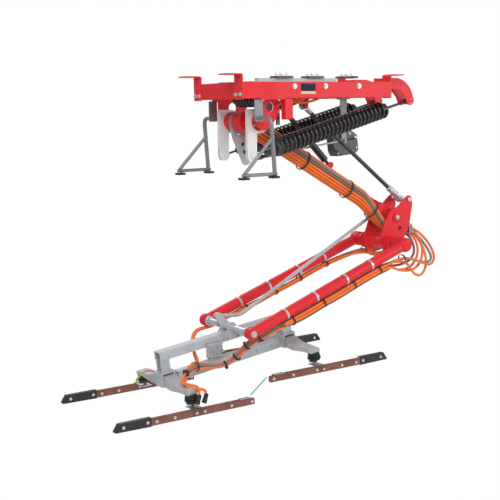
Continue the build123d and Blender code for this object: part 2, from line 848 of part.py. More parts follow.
with BuildPart() as drive_rod:
    bar(drive_lever_at, drive_pivot_at, drive_y, 10, drive_reach - 20, 6.5)
    bar(drive_lever_at, drive_pivot_at, drive_y, 100, 132, 9)
    barrel(drive_lever_at, ((drive_y - 6, drive_y + 4, 15), (drive_y + 4, drive_y + 8, 9)))
save(drive_rod.part, "drive_rod")

# ---- head -----------------------------------------------------------------------------------
with BuildPart() as head_shaft:
    barrel(
        apex_at,
        (
            (-306, 306, head_shaft_radius - 6),
            (-300, -90, head_shaft_radius),
            (-48, 48, head_shaft_radius),
            (90, 300, head_shaft_radius),
            (-tube_face_y, -tube_face_y + 10, 34),
            (tube_face_y - 10, tube_face_y, 34),
        ),
    )
save(head_shaft.part, "head_shaft")


def head_channel(u_from, u_to, v_top, v_bottom, half, wall):
    with BuildSketch(across_head(u_from)) as section:
        with Locations((0, (v_top + v_bottom) / 2)):
            Rectangle(2 * half, v_top - v_bottom)
        with Locations((0, (v_top + v_bottom) / 2 - wall)):
            Rectangle(2 * half - 2 * wall, v_top - v_bottom, mode=Mode.SUBTRACT)
    extrude(section.sketch, amount=u_to - u_from)


with BuildPart() as head_upper_beam:
    head_channel(*upper_beam_u, upper_beam_top, upper_beam_top - upper_beam_depth, head_half_width, 5.0)
save(head_upper_beam.part, "head_upper_beam")

with BuildPart() as head_lower_beam:
    head_channel(-418.0, 353.0, *lower_beam_v, head_half_width - 5, 5.0)
save(head_lower_beam.part, "head_lower_beam")

yoke_wall = 12.0
for sign, where in ends("near", "far"):
    with BuildPart() as head_yoke:
        with BuildSketch(head_side(sign * (head_half_width + yoke_wall / 2) + yoke_wall / 2)):
            with BuildLine():
                Polyline((-70, -76), (70, -76), (60, -30), (30, 0), (-30, 0), (-60, -30), close=True)
            make_face()
            Circle(36)
            if sign > 0:
                with BuildLine():
                    Polyline((-20, -10), (16, 34), (-22, 90), (-56, 50), close=True)
                make_face()
                with Locations(head_side(0).to_local_coords(point(guide_end_at))):
                    Circle(24)
            Circle(head_shaft_radius + 0.1, mode=Mode.SUBTRACT)
        extrude(amount=yoke_wall)
        if sign > 0:
            barrel(guide_end_at, ((head_half_width + yoke_wall, guide_y - 12.5, 16),))
    save(head_yoke.part, f"head_yoke_{where}")

post_top = upper_beam_top - upper_beam_depth
post_height = 75.0
down_head = in_head(0, 0, -1) - in_head(0, 0, 0)
with BuildPart() as head_posts:
    for u, inward in ((upper_beam_u[0] + 33, 1), (upper_beam_u[1] - 33, -1)):
        with BuildSketch(Plane(origin=in_head(u, 0, post_top), x_dir=(0, 1, 0), z_dir=down_head)):
            Rectangle(58, 64)
            with Locations((0, -inward * 7)):
                Rectangle(46, 64, mode=Mode.SUBTRACT)
        extrude(amount=post_height)
save(head_posts.part, "head_posts")

# blocks the rocker arms turn in: a top plate and two cheeks along the beam
block_half_u = 50.0
block_wall = 12.0
with BuildPart() as rocker_blocks:
    for u in rocker_u:
        with BuildSketch(across_head(u - block_half_u)):
            with Locations((0, rocker_v)):
                Rectangle(90, 80)
                with Locations((0, 45)):
                    Rectangle(90, 12)
        extrude(amount=2 * block_half_u)
        with BuildSketch(across_head(u - block_half_u + block_wall)):
            with Locations((0, rocker_v - 6)):
                Rectangle(100, 92)
        extrude(amount=2 * block_half_u - 2 * block_wall, mode=Mode.SUBTRACT)
        with BuildSketch(across_head(u - block_half_u - 4)):
            with Locations((0, rocker_v)):
                Circle(rocker_pin_radius)
        extrude(amount=2 * block_half_u + 8)
save(rocker_blocks.part, "rocker_blocks")

arm_half_u = block_half_u - block_wall - 1.0
for u, where in zip(rocker_u, ("left", "right")):
    with BuildPart() as rocker_arm:
        with BuildSketch(across_head(u - arm_half_u)):
            with BuildLine():
                Polyline(
                    (-56, -177),
                    (56, -177),
                    (150, -204),
                    (322, -214),
                    (322, -236),
                    (248, -236),
                    (120, -250),
                    (50, -244),
                    (-50, -244),
                    (-120, -250),
                    (-248, -236),
                    (-322, -236),
                    (-322, -214),
                    (-150, -204),
                    close=True,
                )
            make_face()
            with Locations((0, rocker_v)):
                Circle(rocker_pin_radius + running_fit, mode=Mode.SUBTRACT)
        extrude(amount=2 * arm_half_u)
        # hollow the two limbs from below, as a pressed channel is
        for sign in (-1, 1):
            with BuildSketch(across_head(u - arm_half_u + 6)):
                with Locations((sign * 170, -236)):
                    Rectangle(190, 44)
            extrude(amount=2 * arm_half_u - 12, mode=Mode.SUBTRACT)
    save(rocker_arm.part, f"rocker_arm_{where}")

    with BuildPart() as insulators:
        for sign in (-1, 1):
            base = in_head(u, sign * insulator_y, insulator_v[0])
            foot = in_head(u, sign * insulator_y, insulator_v[1])
            plane = Plane(origin=base, x_dir=(0, 1, 0), z_dir=foot - base)
            with BuildSketch(plane):
                Circle(34)
            extrude(amount=insulator_v[0] - insulator_v[1])
            for step, radius in ((6, 38), (20, 41), (34, 44)):
                with BuildSketch(plane.offset(step)):
                    Circle(radius)
                extrude(amount=7)
            with BuildSketch(plane.offset(insulator_v[0] - insulator_v[1])):
                Rectangle(30, 70)
            extrude(amount=6)
            # two ears for the strip's pivot
            for ear in (-1, 1):
                with BuildSketch(side(sign * insulator_y + ear * 12 + 3)):
                    with Locations(
                        (in_head(u, 0, strip_pivot_v).X, in_head(u, 0, strip_pivot_v).Z)
                    ):
                        Circle(9)
                        with Locations((0, 6)):
                            Rectangle(16, 10)
                        Circle(4 + running_fit, mode=Mode.SUBTRACT)
                extrude(amount=6)
    save(insulators.part, f"insulators_{where}")

# ---- contact strips: each swings level on its own pivot under an insulator --------------------
carrier_top = -12.0
carrier_height = 6.0
bar_top = carrier_top - carrier_height
bar_bottom = bar_top - strip_height + carrier_height

for u, along, where in zip(rocker_u, (-1, 1), ("left", "right")):
    pivot = in_head(u, 0, strip_pivot_v)
    for sign, lane in ends("near", "far"):
        inner_x = pivot.X - along * strip_inner
        outer_x = pivot.X + along * strip_outer
        tip_x = outer_x + along * horn_reach
        middle = (pivot.X - along * ((strip_inner - strip_outer) / 2 - 10), sign * strip_y)
        with BuildPart() as strip_holder:
            with BuildSketch(Plane.XY.offset(pivot.Z + bar_top)):
                with Locations(middle):
                    Rectangle(strip_inner + strip_outer - 20, 20)
                with Locations((pivot.X, sign * (insulator_y + strip_y) / 2)):
                    Rectangle(70, strip_y - insulator_y + 50)
            extrude(amount=carrier_height)
            with BuildSketch(side(sign * insulator_y + 8)):
                with Locations((pivot.X, pivot.Z)):
                    Circle(7)
                with Locations((pivot.X, pivot.Z + (bar_top + carrier_height) / 2)):
                    Rectangle(14, -bar_top - carrier_height)
            extrude(amount=16)
            barrel((pivot.X, pivot.Z), ((sign * insulator_y - 17, sign * insulator_y + 17, 4),))
            with BuildSketch(side(sign * strip_y + strip_width / 2)) as horn:
                with BuildLine():
                    Polyline(
                        (outer_x, pivot.Z + bar_top + 14),
                        (outer_x, pivot.Z + bar_bottom - 2),
                        (tip_x, pivot.Z + bar_bottom + 2),
                        (tip_x - along * 34, pivot.Z + bar_top + 14),
                        close=True,
                    )
                make_face()
                fillet(horn.vertices().group_by(Axis.X)[-1 if along > 0 else 0], 6)
            extrude(amount=strip_width)
        save(strip_holder.part, f"strip_holder_{where}_{lane}")

        with BuildPart() as strip:
            with BuildSketch(Plane.YZ.offset(inner_x)) as section:
                with Locations((sign * strip_y, pivot.Z + (bar_top + bar_bottom) / 2)):
                    Rectangle(strip_width, bar_top - bar_bottom)
                fillet(section.vertices().group_by(Axis.Z)[0], 5)
            extrude(amount=outer_x - inner_x)
        save(strip.part, f"contact_strip_{where}_{lane}")

# ---- head cables: from the forearm tubes along the beam, some over it, down to the left strips ----
head_cable_routes = (
    ((-470, -200, -1668), (-600, -110, -1790), (-760, -86, -1815), (-900, -110, -1770),
     (-1005, -250, -1780), (-1040, -354, -1812), (-1040, -358, -1925)),
    ((-474, -176, -1694), (-610, -88, -1815), (-780, -62, -1838), (-915, -140, -1792),
     (-965, -300, -1795), (-972, -356, -1825), (-976, -358, -1915)),
    ((-500, -150, -1716), (-640, -62, -1780), (-790, -62, -1786), (-893, -62, -1712),
     (-880, -40, -1590), (-850, 60, -1540), (-900, 170, -1660), (-965, 310, -1790),
     (-972, 356, -1825), (-976, 358, -1915)),
    ((-470, 200, -1668), (-600, 110, -1790), (-780, 80, -1826), (-930, 130, -1780),
     (-1010, 270, -1775), (-1040, 354, -1812), (-1040, 358, -1925)),
)
with BuildPart() as head_cables:
    for route in head_cable_routes:
        cable(route, cable_radius)
save(head_cables.part, "head_cables")
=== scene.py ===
import math

import bpy
from mathutils import Matrix, Vector


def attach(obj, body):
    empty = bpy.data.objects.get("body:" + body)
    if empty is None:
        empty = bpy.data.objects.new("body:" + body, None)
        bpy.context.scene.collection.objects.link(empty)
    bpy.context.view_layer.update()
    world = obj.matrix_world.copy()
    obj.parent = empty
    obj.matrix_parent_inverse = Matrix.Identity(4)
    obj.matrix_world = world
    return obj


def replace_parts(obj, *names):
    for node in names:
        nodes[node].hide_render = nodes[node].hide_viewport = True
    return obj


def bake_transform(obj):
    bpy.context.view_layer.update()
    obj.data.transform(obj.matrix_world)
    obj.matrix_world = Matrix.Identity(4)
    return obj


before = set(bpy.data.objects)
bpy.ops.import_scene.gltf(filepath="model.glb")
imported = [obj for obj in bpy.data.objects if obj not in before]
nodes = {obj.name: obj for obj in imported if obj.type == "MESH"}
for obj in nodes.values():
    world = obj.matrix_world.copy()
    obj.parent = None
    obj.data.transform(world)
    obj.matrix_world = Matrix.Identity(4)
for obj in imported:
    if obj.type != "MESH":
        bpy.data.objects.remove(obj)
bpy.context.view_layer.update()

# ---- Camera --------------------------------------------------------------------------------------
# Level with the top of the machine, off its shaft end and well to the near side, looking slightly
# down at the knee.
camera_data = bpy.data.cameras.new("camera")
camera_data.lens = 71.77
camera_data.sensor_width = 36.0
camera_data.clip_end = 100.0
camera = bpy.data.objects.new("camera", camera_data)
bpy.context.scene.collection.objects.link(camera)
swing = Matrix.Rotation(math.radians(-33.95), 3, "Z")
nod = Matrix.Rotation(math.radians(90 - 7.92), 3, "X")
lean = Matrix.Rotation(math.radians(-1.08), 3, "Z")
camera.matrix_world = Matrix.Translation((-3.952, -5.315, -0.227)) @ (swing @ nod @ lean).to_4x4()
bpy.context.scene.camera = camera
bpy.context.scene.view_settings.view_transform = "Standard"

# ---- Studio --------------------------------------------------------------------------------------
# A white studio room: one large soft lamp above the near side, a weaker one at the knee end and
# one behind, and a pale floor far below the head.
world = bpy.data.worlds.new("room")
bpy.context.scene.world = world
world.use_nodes = True
sky = world.node_tree
seen = sky.nodes.new("ShaderNodeLightPath")
level = sky.nodes.new("ShaderNodeMath")
level.operation = "MAXIMUM"
level.inputs[1].default_value = 0.42
sky.links.new(seen.outputs["Is Camera Ray"], level.inputs[0])
sky.nodes["Background"].inputs["Color"].default_value = (1, 1, 1, 1)
sky.links.new(level.outputs[0], sky.nodes["Background"].inputs["Strength"])

bpy.ops.mesh.primitive_plane_add(size=60, location=(0, 0, -2.75))
floor = bpy.context.object
floor.name = "floor"
pale = bpy.data.materials.new("pale_floor")
pale.use_nodes = True
tree = pale.node_tree
tree.nodes["Principled BSDF"].inputs["Base Color"].default_value = (0.85, 0.85, 0.85, 1)
tree.nodes["Principled BSDF"].inputs["Roughness"].default_value = 0.9
glow = tree.nodes.new("ShaderNodeEmission")
mix = tree.nodes.new("ShaderNodeMixShader")
ray = tree.nodes.new("ShaderNodeLightPath")
tree.links.new(ray.outputs["Is Camera Ray"], mix.inputs[0])
tree.links.new(tree.nodes["Principled BSDF"].outputs[0], mix.inputs[1])
tree.links.new(glow.outputs[0], mix.inputs[2])
tree.links.new(mix.outputs[0], tree.nodes["Material Output"].inputs["Surface"])
floor.data.materials.append(pale)


def lamp(name, place, aim, size, power):
    data = bpy.data.lights.new(name, "AREA")
    data.size = size
    data.energy = power
    unit = bpy.data.objects.new(name, data)
    bpy.context.scene.collection.objects.link(unit)
    unit.location = place
    unit.rotation_euler = (Vector(aim) - Vector(place)).to_track_quat("-Z", "Y").to_euler()


lamp("key", (-3.5, -4.5, 3.2), (0, 0, -0.8), 3.0, 250)
lamp("fill", (4.5, -4.5, 0.5), (0.3, 0, -1.0), 3.0, 110)
lamp("rim", (0.5, 4.5, 2.5), (0, 0, -0.8), 3.0, 90)


# ---- Frame beams ---------------------------------------------------------------------------------
# Two folded steel channels along the machine and five across it, welded, and painted red.
# Three big bolts show on each long web, and a blank dark plate on the near one.
def finish(name, colour, roughness, metallic=0.0, mottle=0.05, coat=0.0, relief=0.02, shine=0.5):
    """A surface with slight changes of colour and roughness, on object coordinates."""
    material = bpy.data.materials.new(name)
    material.use_nodes = True
    tree = material.node_tree
    shader = tree.nodes["Principled BSDF"]
    place = tree.nodes.new("ShaderNodeTexCoord")
    cloud = tree.nodes.new("ShaderNodeTexNoise")
    cloud.inputs["Scale"].default_value = 9.0
    cloud.inputs["Detail"].default_value = 5.0
    tree.links.new(place.outputs["Object"], cloud.inputs["Vector"])
    tint = tree.nodes.new("ShaderNodeValToRGB")
    dark, light = tint.color_ramp.elements
    dark.position, light.position = 0.3, 0.7
    dark.color = (*[c * (1 - mottle) for c in colour], 1)
    light.color = (*[min(1, c * (1 + mottle)) for c in colour], 1)
    tree.links.new(cloud.outputs["Fac"], tint.inputs["Fac"])
    tree.links.new(tint.outputs["Color"], shader.inputs["Base Color"])
    skin = tree.nodes.new("ShaderNodeTexNoise")
    skin.inputs["Scale"].default_value = 70.0
    tree.links.new(place.outputs["Object"], skin.inputs["Vector"])
    rough = tree.nodes.new("ShaderNodeMapRange")
    rough.inputs["To Min"].default_value = roughness - 0.07
    rough.inputs["To Max"].default_value = roughness + 0.07
    tree.links.new(skin.outputs["Fac"], rough.inputs["Value"])
    tree.links.new(rough.outputs[0], shader.inputs["Roughness"])
    bump = tree.nodes.new("ShaderNodeBump")
    bump.inputs["Strength"].default_value = relief
    bump.inputs["Distance"].default_value = 0.002
    tree.links.new(skin.outputs["Fac"], bump.inputs["Height"])
    tree.links.new(bump.outputs[0], shader.inputs["Normal"])
    shader.inputs["Metallic"].default_value = metallic
    shader.inputs["Coat Weight"].default_value = coat
    shader.inputs["Specular IOR Level"].default_value = shine
    return material


def coat(material, slot, *names):
    for name in names:
        nodes[name].data.materials.clear()
        nodes[name].data.materials.append(material)


def metres(spot):
    return Vector(spot) / 1000


def placed(name, mesh, body, material=None):
    """A finished mesh as an object that rides on a body."""
    unit = bpy.data.objects.new(name, mesh)
    bpy.context.scene.collection.objects.link(unit)
    if material:
        mesh.materials.clear()
        mesh.materials.append(material)
    if body:
        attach(unit, body)
    return unit


def socketed(name, wanted):
    """A new geometry tree with the named inputs, its input and output nodes, and one geometry out."""
    tree = bpy.data.node_groups.new(name, "GeometryNodeTree")
    tree.interface.new_socket("Geometry", in_out="INPUT", socket_type="NodeSocketGeometry")
    for label, kind in wanted:
        tree.interface.new_socket(label, in_out="INPUT", socket_type="NodeSocket" + kind)
    tree.interface.new_socket("Geometry", in_out="OUTPUT", socket_type="NodeSocketGeometry")
    return tree, tree.nodes.new("NodeGroupInput"), tree.nodes.new("NodeGroupOutput")


def grown(name, tree, base, settings):
    """The mesh that a geometry tree makes from a base mesh and its named settings."""
    seed = bpy.data.objects.new(name, base)
    bpy.context.scene.collection.objects.link(seed)
    modifier = seed.modifiers.new("grow", "NODES")
    modifier.node_group = tree
    for item in tree.interface.items_tree:
        if item.in_out == "INPUT" and item.name in settings:
            modifier[item.identifier] = settings[item.name]
    graph = bpy.context.evaluated_depsgraph_get()
    mesh = bpy.data.meshes.new_from_object(seed.evaluated_get(graph))
    mesh.name = name
    bpy.data.objects.remove(seed)
    return mesh


bolt_tree, given, result = socketed(
    "bolts",
    (("Radius", "Float"), ("Height", "Float"), ("Washer", "Float"), ("Sides", "Int"), ("Finish", "Material")),
)
head = bolt_tree.nodes.new("GeometryNodeMeshCylinder")
disc = bolt_tree.nodes.new("GeometryNodeMeshCylinder")
disc.inputs["Vertices"].default_value = 20
disc.inputs["Depth"].default_value = 0.003
half = bolt_tree.nodes.new("ShaderNodeMath")
half.operation = "MULTIPLY_ADD"
half.inputs[1].default_value = 0.5
half.inputs[2].default_value = 0.0015
lift = bolt_tree.nodes.new("ShaderNodeCombineXYZ")
raised = bolt_tree.nodes.new("GeometryNodeTransform")
both = bolt_tree.nodes.new("GeometryNodeJoinGeometry")
turn = bolt_tree.nodes.new("GeometryNodeInputNamedAttribute")
turn.data_type = "FLOAT_VECTOR"
turn.inputs["Name"].default_value = "turn"
rotation = bolt_tree.nodes.new("FunctionNodeEulerToRotation")
spread = bolt_tree.nodes.new("GeometryNodeInstanceOnPoints")
solid = bolt_tree.nodes.new("GeometryNodeRealizeInstances")
dressed = bolt_tree.nodes.new("GeometryNodeSetMaterial")
for start, end in (
    (given.outputs["Sides"], head.inputs["Vertices"]),
    (given.outputs["Radius"], head.inputs["Radius"]),
    (given.outputs["Height"], head.inputs["Depth"]),
    (given.outputs["Washer"], disc.inputs["Radius"]),
    (given.outputs["Height"], half.inputs[0]),
    (half.outputs[0], lift.inputs["Z"]),
    (head.outputs["Mesh"], raised.inputs["Geometry"]),
    (lift.outputs[0], raised.inputs["Translation"]),
    (disc.outputs["Mesh"], both.inputs[0]),
    (raised.outputs[0], both.inputs[0]),
    (given.outputs["Geometry"], spread.inputs["Points"]),
    (both.outputs[0], spread.inputs["Instance"]),
    (turn.outputs["Attribute"], rotation.inputs[0]),
    (rotation.outputs[0], spread.inputs["Rotation"]),
    (spread.outputs[0], solid.inputs[0]),
    (solid.outputs[0], dressed.inputs["Geometry"]),
    (given.outputs["Finish"], dressed.inputs["Material"]),
    (dressed.outputs[0], result.inputs[0]),
):
    bolt_tree.links.new(start, end)


def marked(name, spots, extra=None):
    """Points in millimetres, each with the turn that brings +Z to its own direction."""
    mesh = bpy.data.meshes.new(name)
    mesh.from_pydata([metres(spot) for spot, _ in spots], [], [])
    turns = mesh.attributes.new("turn", "FLOAT_VECTOR", "POINT")
    for held, (_, way) in zip(turns.data, spots):
        held.vector = Vector(way).to_track_quat("Z", "Y").to_euler()
    if extra:
        sizes = mesh.attributes.new("size", "FLOAT_VECTOR", "POINT")
        for held, size in zip(sizes.data, extra):
            held.vector = metres(size)
    return mesh


def bolts(name, body, material, spots, radius=9.0, height=7.0, washer=13.0, sides=6):
    settings = {
        "Radius": radius / 1000, "Height": height / 1000, "Washer": washer / 1000,
        "Sides": sides, "Finish": material,
    }
    return placed(name, grown(name, bolt_tree, marked(name, spots), settings), body)


near, up, down = (0, -1, 0), (0, 0, 1), (0, 0, -1)
red_paint = finish("red_paint", (0.76, 0.026, 0.036), 0.5, coat=0.08, shine=0.25)
bright_steel = finish("bright_steel", (0.62, 0.63, 0.64), 0.34, metallic=0.55)
coat(red_paint, "red_paint", "side_beam_near", "side_beam_far", "end_crossbeams", "inner_crossbeams")
web = 280  # the side beams' outer faces, from the middle
bolts(
    "web_bolts", "frame", bright_steel,
    [((x, side * (web + 1.5), -77), (0, side, 0)) for x in (-205, 40, 315) for side in (-1, 1)],
    radius=11, height=8, washer=17,
)


def block(name, body, material, low, high, bevel=1.0):
    """A box between two corners in millimetres, with small bevels."""
    low, high = metres(low), metres(high)
    corners = [(x, y, z) for x in (low.x, high.x) for y in (low.y, high.y) for z in (low.z, high.z)]
    faces = [(0, 1, 3, 2), (4, 6, 7, 5), (0, 4, 5, 1), (2, 3, 7, 6), (0, 2, 6, 4), (1, 5, 7, 3)]
    mesh = bpy.data.meshes.new(name)
    mesh.from_pydata(corners, [], faces)
    unit = placed(name, mesh, body, material)
    if bevel:
        rounded = unit.modifiers.new("rounded", "BEVEL")
        rounded.width = bevel / 1000
        rounded.segments = 2
    return unit


plate_blue = finish("plate_blue", (0.004, 0.008, 0.04), 0.5, shine=0.25)
plate_sand = finish("plate_sand", (0.75, 0.55, 0.25), 0.5)
block("web_plate", "frame", plate_blue, (-156, -web - 1.6, -107), (-42, -web - 0.2, -62))
block("web_strip", "frame", plate_sand, (-156, -web - 1.6, -126), (-42, -web - 0.2, -109))

# ---- Mast brackets -------------------------------------------------------------------------------
# Four straps of thick steel plate, bent at the foot and painted red, that bolt up to the mast's
# underside. Two bolts through the end channel hold each of them to a corner of the frame.
coat(red_paint, "red_paint", "mounting_brackets")
bolts(
    "corner_bolts", "frame", bright_steel,
    [
        ((end * 599.5, side * (237.5 + step), -125), (end, 0, 0))
        for end in (-1, 1) for side in (-1, 1) for step in (-25, 25)
    ],
)

# ---- Bearing brackets and stop blocks ------------------------------------------------------------
# Two flanged steel brackets, bolted up under the side beams, carry the arm's shaft in bored bosses; the
# square blocks behind them stop the arm. A red cap closes the hole in the near bracket, and a black disc on
# its face is painted shade for the dark inside of the bore.
coat(red_paint, "red_paint", "bearing_brackets", "stop_blocks")
black_steel = finish("black_steel", (0.022, 0.022, 0.025), 0.4, coat=0.25)


def lathe(name, start, end, rings, sides=32):
    """A turned solid along a line: rings are (distance from start, radius) in millimetres."""
    start, end = metres(start), metres(end)
    turned = (end - start).to_track_quat("Z", "Y").to_matrix()
    points, faces = [], []
    for distance, radius in rings:
        for step in range(sides):
            angle = 2 * math.pi * step / sides
            local = Vector((radius * math.cos(angle), radius * math.sin(angle), distance)) / 1000
            points.append(start + turned @ local)
    for row in range(len(rings) - 1):
        for step in range(sides):
            a, b = row * sides + step, row * sides + (step + 1) % sides
            faces.append((a, b, b + sides, a + sides))
    faces.append(tuple(range(sides - 1, -1, -1)))
    faces.append(tuple(range((len(rings) - 1) * sides, len(rings) * sides)))
    mesh = bpy.data.meshes.new(name)
    mesh.from_pydata(points, [], faces)
    mesh.shade_smooth()
    mesh.set_sharp_from_angle(angle=math.radians(35))
    return mesh


shaft_x, shaft_z = -400, -290
hole_x, hole_z = shaft_x + 46, -203
for name, paint, slot, inner_y, outer_y, radius in (
    ("bearing_cap", red_paint, "red_paint", -200, -209, 31.8),
    # the black disc is painted shade of the bore's dark inside, not a real part
    ("bore_shade_disc", black_steel, "black_steel", -209, -210.8, 22),
):
    rings = [(0, radius), (inner_y - outer_y, radius)]
    disc = lathe(name, (hole_x, inner_y, hole_z), (hole_x, outer_y, hole_z), rings)
    placed(name, disc, "frame", paint)
block("bearing_strip_near", "frame", black_steel, (-305, -219, -315), (-277, -212.2, -166))
bolts(
    "bearing_bolts", "frame", bright_steel,
    [((-291, -219.5, z), near) for z in (-191, -234)]
    + [((shaft_x + 28 + dx, side * 257, -158.5), down) for dx in (-60, 60) for side in (-1, 1)],
    radius=8, height=6, washer=11,
)

# ---- Spring hooks --------------------------------------------------------------------------------
# Curved plates cut from thick steel and painted red, welded in pairs to a foot that is bolted to
# the knee end of the frame. Each pair holds the pin of one spring.
coat(red_paint, "red_paint", "spring_hooks")
hook_x, hook_z = 840, -178
foot_spots = [(y, z) for y in (130, 170) for z in (-45, -80)]
bolts(
    "hook_bolts", "frame", bright_steel,
    [((hook_x, side * 209.5, hook_z), (0, side, 0)) for side in (-1, 1)]
    + [((598.5, side * y, z), (1, 0, 0)) for side in (-1, 1) for y, z in foot_spots],
    radius=9, height=6, washer=14,
)

# ---- Stands --------------------------------------------------------------------------------------
# Bent and welded galvanised tubes, bolted by a plate to the shaft end of each side beam. The
# folded head rests against their black rubber feet.
grey_steel = finish("grey_steel", (0.50, 0.51, 0.53), 0.45, metallic=0.25, mottle=0.10)
tube_grey = finish("tube_grey", (0.25, 0.26, 0.27), 0.42, metallic=0.4, mottle=0.12)
black_rubber = finish("black_rubber", (0.025, 0.025, 0.027), 0.7)
coat(tube_grey, "grey_steel", "stands", "drive_bracket")
coat(black_rubber, "rubber", "stand_pads")
bolts(
    "foot_screws", "frame", bright_steel,
    [((x, side * 376, -619), up) for x in (-672, -428) for side in (-1, 1)],
    radius=5, height=5, washer=8,
)

# ---- Lugs, top rail and clamps -------------------------------------------------------------------
# Welded forks under the crossbeams hold the coupling rod and the damper. A plain steel rail lies
# along the top, held down by three bolted black clamps.
coat(red_paint, "red_paint", "frame_lugs")
coat(grey_steel, "grey_steel", "top_rail")
coat(black_steel, "black_steel", "rail_clamps")
bolts(
    "clamp_bolts", "frame", bright_steel,
    [((x + dx, y, 4), up) for x in (-102, 152, 443) for dx in (-24, 24) for y in (-25, 25)],
    radius=8, height=6, washer=12,
)
block("cable_tray", "frame", grey_steel, (-379, -60, -44), (-288, 60, -38))

# ---- Arm shaft and main arm ----------------------------------------------------------------------
# A turned steel shaft with two fat housings carries a round welded arm that narrows to the knee,
# where it ends in a bored hub. All of it is painted red.
coat(red_paint, "red_paint", "arm_shaft", "main_arm_tube", "knee_hub", "damper_lug")
bolts(
    "housing_screws", "main_arm", bright_steel,
    [
        ((shaft_x + 50 * math.cos(angle), side * 182.5, shaft_z + 50 * math.sin(angle)), (0, side, 0))
        for angle in [math.radians(30 + 60 * step) for step in range(6)] for side in (-1, 1)
    ],
    radius=4.5, height=4, washer=7,
)

# ---- Levers on the shaft -------------------------------------------------------------------------
# Two white painted steel levers, fixed to the shaft beside its housings, pull the springs. A flat
# grey plate with lightening holes, fixed between them, takes the drive rod.
white_paint = finish("white_paint", (0.72, 0.73, 0.72), 0.35)
coat(white_paint, "white_paint", "spring_levers")
coat(grey_steel, "grey_steel", "drive_lever")

# ---- Springs -------------------------------------------------------------------------------------
# Two long balance springs of black wire, each with an eye on the hook's pin and a rod pinned to the lever.
# The real springs stretch between the two as the arm turns; here each coil is one fixed mesh that rides on no
# body.
coil_tree, given, result = socketed(
    "coil",
    (("Turns", "Float"), ("Radius", "Float"), ("Wire", "Float"), ("Length", "Float"), ("Finish", "Material")),
)
spiral = coil_tree.nodes.new("GeometryNodeCurveSpiral")
spiral.inputs["Resolution"].default_value = 26
round_wire = coil_tree.nodes.new("GeometryNodeCurvePrimitiveCircle")
round_wire.inputs["Resolution"].default_value = 12
wound = coil_tree.nodes.new("GeometryNodeCurveToMesh")
wound.inputs["Fill Caps"].default_value = True
smooth = coil_tree.nodes.new("GeometryNodeSetShadeSmooth")
dressed = coil_tree.nodes.new("GeometryNodeSetMaterial")
for start, end in (
    (given.outputs["Turns"], spiral.inputs["Rotations"]),
    (given.outputs["Radius"], spiral.inputs["Start Radius"]),
    (given.outputs["Radius"], spiral.inputs["End Radius"]),
    (given.outputs["Length"], spiral.inputs["Height"]),
    (given.outputs["Wire"], round_wire.inputs["Radius"]),
    (spiral.outputs["Curve"], wound.inputs["Curve"]),
    (round_wire.outputs["Curve"], wound.inputs["Profile Curve"]),
    (wound.outputs[0], smooth.inputs[0]),
    (smooth.outputs[0], dressed.inputs["Geometry"]),
    (given.outputs["Finish"], dressed.inputs["Material"]),
    (dressed.outputs[0], result.inputs[0]),
):
    coil_tree.links.new(start, end)


def joined(name, meshes):
    """One mesh of several, each with its own material slots kept."""
    units = []
    for mesh in meshes:
        unit = bpy.data.objects.new(name, mesh)
        bpy.context.scene.collection.objects.link(unit)
        units.append(unit)
    with bpy.context.temp_override(active_object=units[0], selected_editable_objects=units):
        bpy.ops.object.join()
    mesh = units[0].data
    bpy.data.objects.remove(units[0])
    mesh.name = name
    return mesh


coat(black_steel, "black_steel", "spring_rod_near", "spring_rod_far")
coil_wire = finish("coil_wire", (0.018, 0.018, 0.02), 0.3, coat=0.6)
hook_end, lever_end = Vector((hook_x, 0, hook_z)), Vector((-456, 0, -505))
along = (lever_end - hook_end).normalized()
spring_y = 161
for side, where, name in ((-1, "left", "near"), (1, "right", "far")):
    across = Vector((0, side * spring_y, 0))
    eye_at = hook_end + across
    first = hook_end + along * 224 + across
    hook_body, rod_body = f"spring_{where}", f"spring_{where}_rod"
    settings = {"Turns": 27.0, "Radius": 0.0525, "Wire": 0.0080, "Length": 0.934, "Finish": coil_wire}
    coil = grown("coil_" + name, coil_tree, bpy.data.meshes.new("seed"), settings)
    coil.transform(Matrix.Translation(metres(first)) @ along.to_track_quat("Z", "Y").to_matrix().to_4x4())
    spring = placed("spring_coil_" + name, coil, None)
    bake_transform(spring)
    # hook rod, wound plug and the outer of two guide tubes that slide inside the coil
    core = lathe(
        "spring_core_" + name, eye_at, lever_end + across,
        [
            (16, 9), (196, 9), (196, 24), (206, 24), (206, 40), (222, 43), (290, 43), (290, 40),
            (985, 40), (985, 38), (300, 38),
        ],
    )
    half_eye = Vector((0, 11.5, 0))
    eye = lathe(
        "spring_eye_" + name, eye_at - half_eye, eye_at + half_eye,
        [(0, 12.5), (0, 20), (2, 21.5), (21, 21.5), (23, 20), (23, 12.5)],
    )
    for mesh in (core, eye):
        mesh.materials.append(black_steel)
    hook_fitting = joined("spring_end_" + name, [core, eye])
    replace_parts(placed("spring_end_" + name, hook_fitting, hook_body), "spring_" + name)
    plug = lathe(
        "spring_plug_" + name, lever_end + across, hook_end + across,
        [(100, 8), (104, 20), (142, 43), (190, 43), (194, 36), (398, 36), (400, 30)],
    )
    placed("spring_plug_" + name, plug, rod_body, black_steel)

